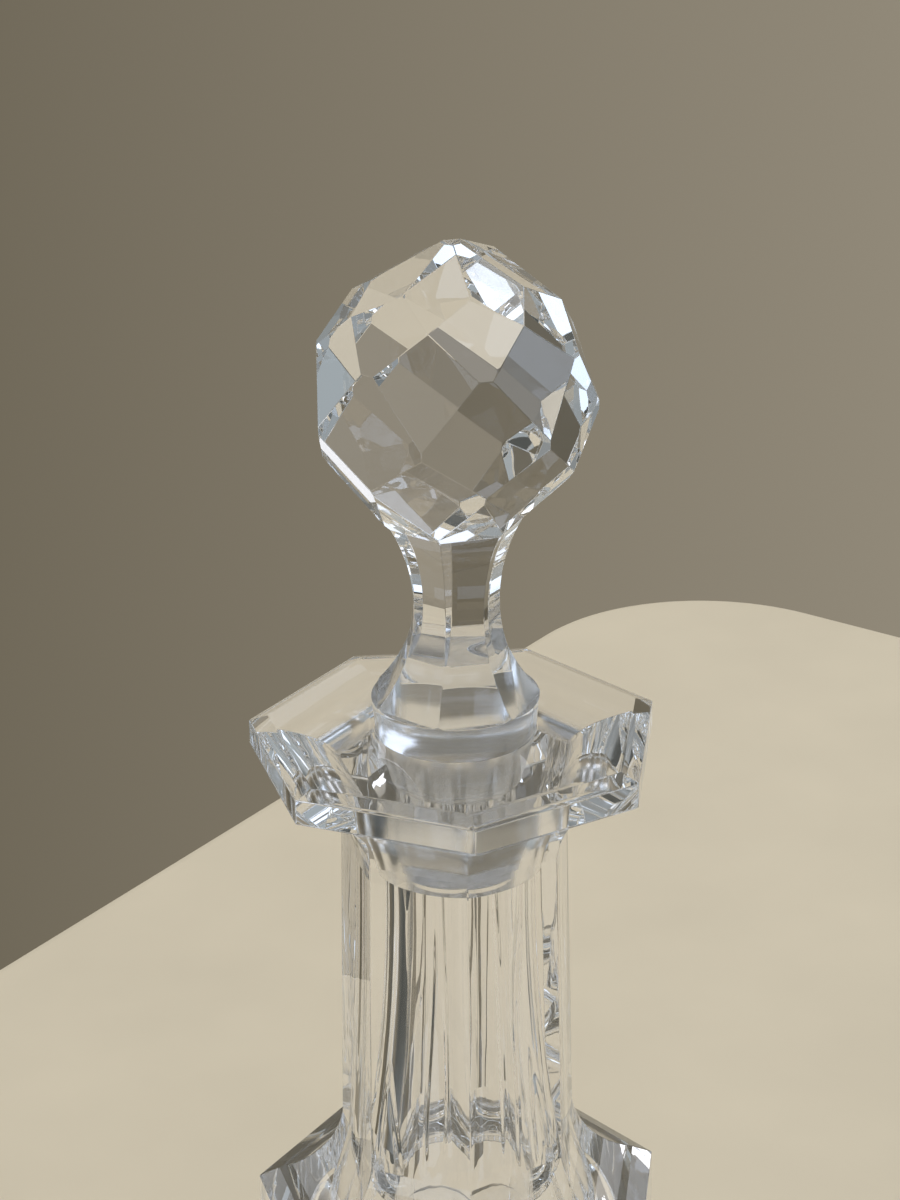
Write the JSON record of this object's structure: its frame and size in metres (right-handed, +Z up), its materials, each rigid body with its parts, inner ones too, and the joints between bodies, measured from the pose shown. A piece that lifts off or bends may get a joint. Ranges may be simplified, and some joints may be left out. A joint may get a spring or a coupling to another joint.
{
  "type": "perfume bottle",
  "caption": "Cut-crystal perfume bottle with a panel-cut neck, a flat heptagonal lip and a ground glass stopper with a diamond-faceted ball that lifts out.",
  "frame": {"origin": "middle of the flat base, on the table", "axes": "+Z up along the bottle's axis, one corner of the heptagonal body and lip towards -Y, +X to the right seen from that corner"},
  "size_m": [0.048, 0.0468, 0.1797],
  "materials": {
    "bottle_crystal": "polished colourless lead crystal, with a ground matt socket in the mouth",
    "stopper_crystal": "polished colourless lead crystal, with a ground matt plug"
  },
  "bodies": {
    "bottle": {"bottle": "bottle_crystal"},
    "stopper": {"stopper": "stopper_crystal"}
  },
  "joints": [
    {"name": "stopper_lift", "type": "slide", "parent": "bottle", "child": "stopper", "axis": [0, 0, 1], "range_m": [0, 0.04]}
  ]
}
